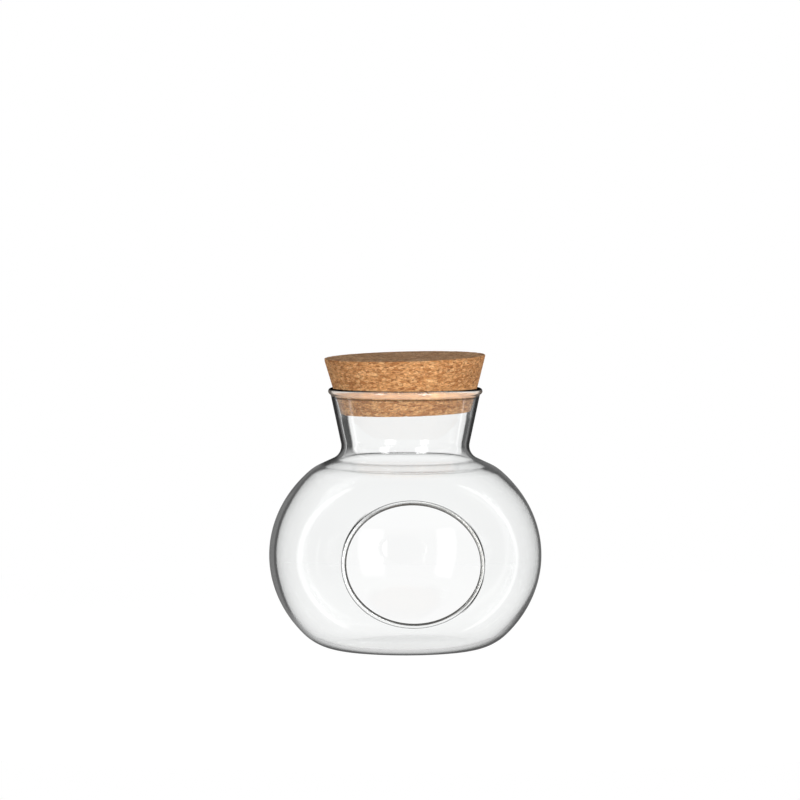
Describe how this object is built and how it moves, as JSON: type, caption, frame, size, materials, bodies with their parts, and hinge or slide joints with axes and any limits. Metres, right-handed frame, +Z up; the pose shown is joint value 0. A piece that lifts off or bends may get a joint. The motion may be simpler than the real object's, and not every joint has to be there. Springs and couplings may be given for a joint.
{
  "type": "glass jar with cork stopper",
  "caption": "Squat round clear glass jar with a flared neck, a rolled lip, an oval opening in its front wall and a tapered cork stopper that lifts out.",
  "frame": {"origin": "centre of the flat base, on the jar's axis", "axes": "+Z up along the jar's axis, -Y out of the front, where the oval opening is, +X to the right seen from the front"},
  "size_m": [0.18, 0.1706, 0.1952],
  "materials": {
    "clear_glass": "clear, blown, fire polished",
    "cork": "pressed cork granules, sanded, unsealed"
  },
  "bodies": {
    "jar": {"glass_jar": "clear_glass"},
    "stopper": {"cork_stopper": "cork"}
  },
  "joints": [
    {"name": "stopper_lift", "type": "slide", "parent": "jar", "child": "stopper", "axis": [0, 0, 1], "range_m": [0, 0.06]}
  ]
}
